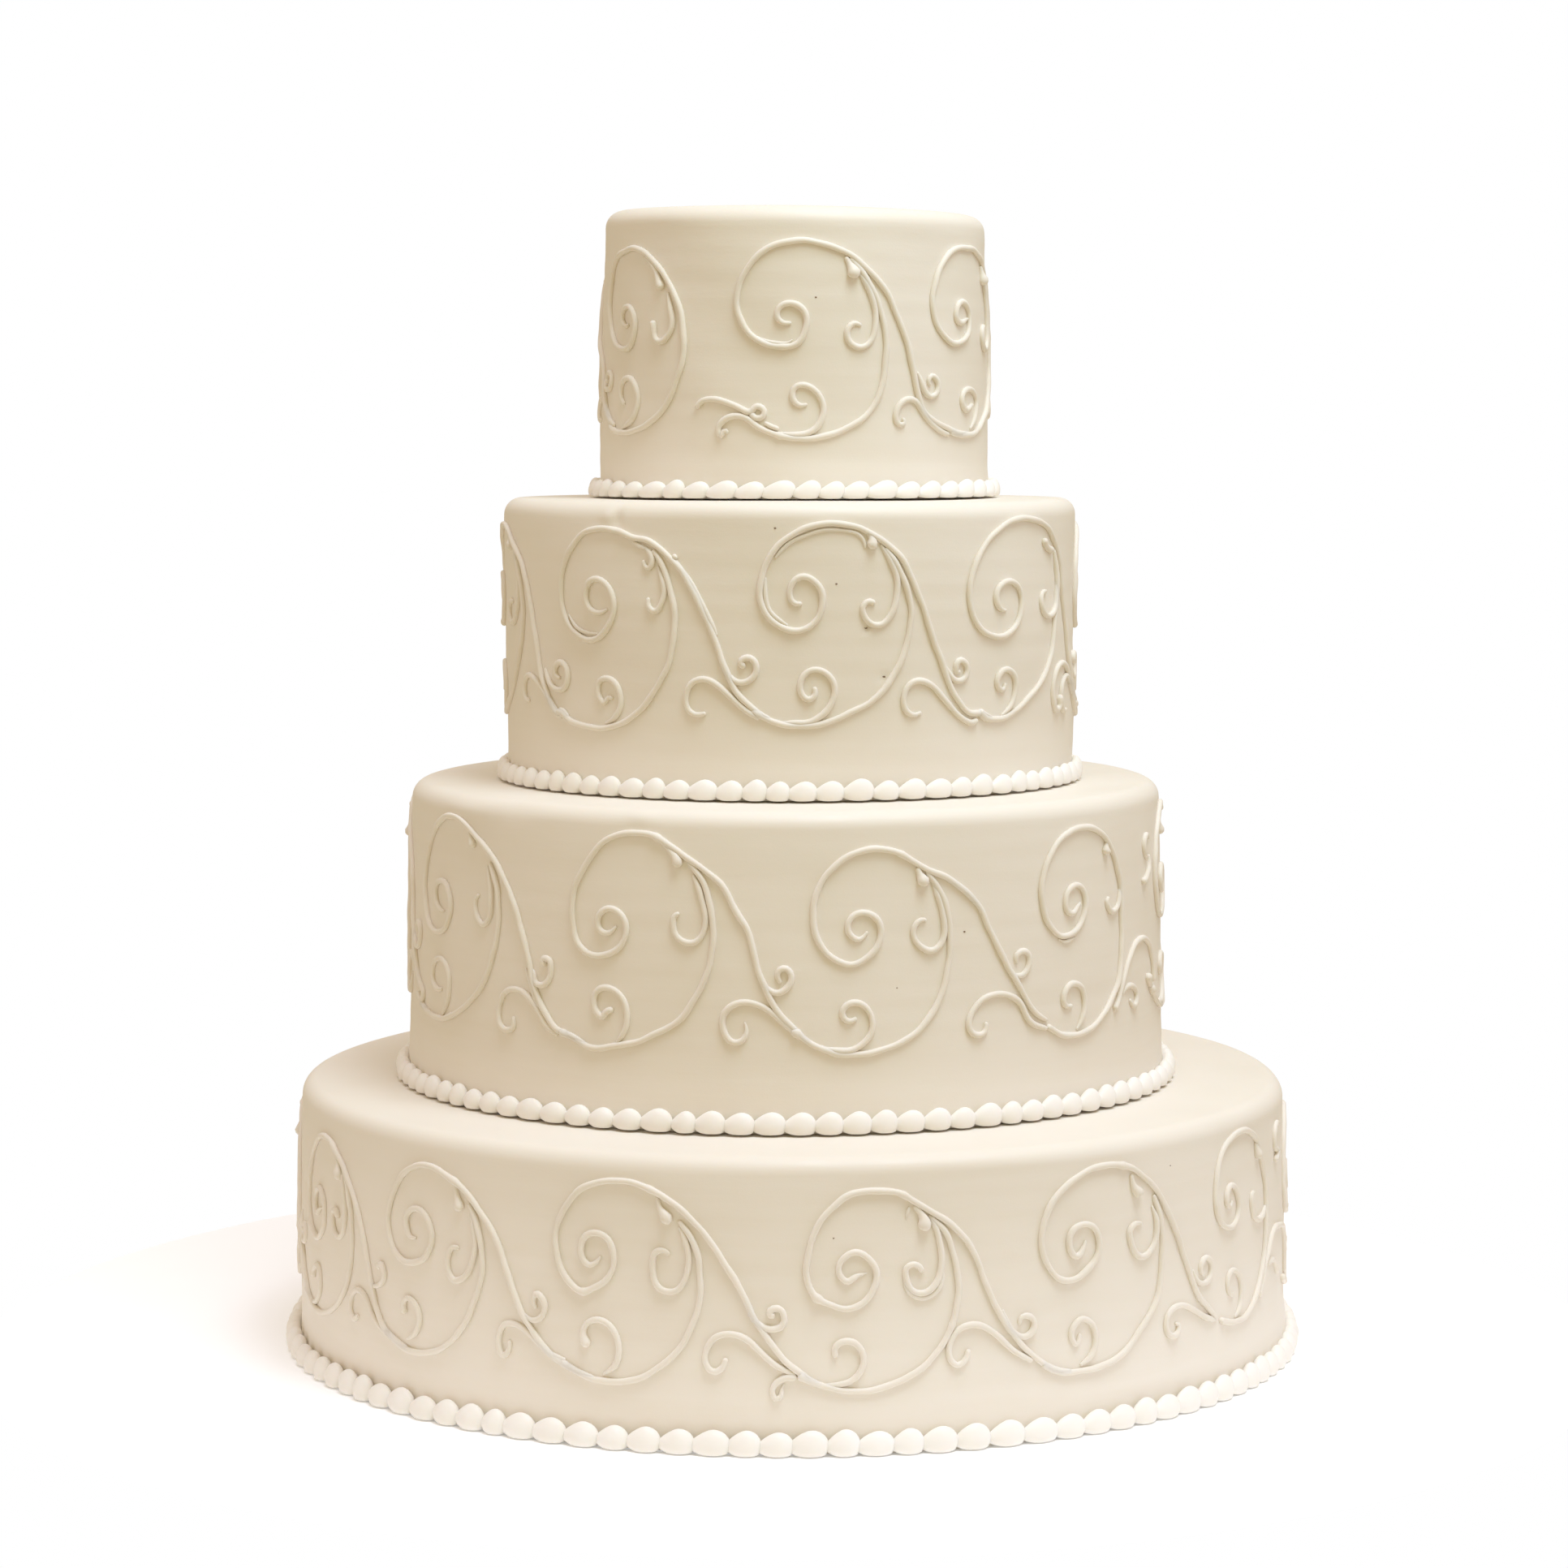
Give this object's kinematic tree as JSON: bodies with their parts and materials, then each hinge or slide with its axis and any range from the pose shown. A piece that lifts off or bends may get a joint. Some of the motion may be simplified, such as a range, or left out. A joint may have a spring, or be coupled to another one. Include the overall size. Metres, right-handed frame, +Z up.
{
  "type": "wedding cake",
  "caption": "Round stacked wedding cake in ivory fondant, with a piped running scroll on each tier's wall and a pearl border round each tier's foot.",
  "frame": {"origin": "middle of the cake's foot, on the surface it stands on", "axes": "+Z up through the tiers, -Y towards the front"},
  "size_m": [0.4273, 0.4271, 0.4691],
  "materials": {
    "fondant": "satin ivory fondant",
    "icing": "smooth piped icing"
  },
  "bodies": {
    "root": {"tier_bottom": "fondant", "tier_third": "fondant", "tier_second": "fondant", "tier_top": "fondant", "scrolls_bottom": "icing", "scrolls_third": "icing", "scrolls_second": "icing", "scrolls_top": "icing", "pearls_bottom": "icing", "pearls_third": "icing", "pearls_second": "icing", "pearls_top": "icing"}
  },
  "joints": []
}
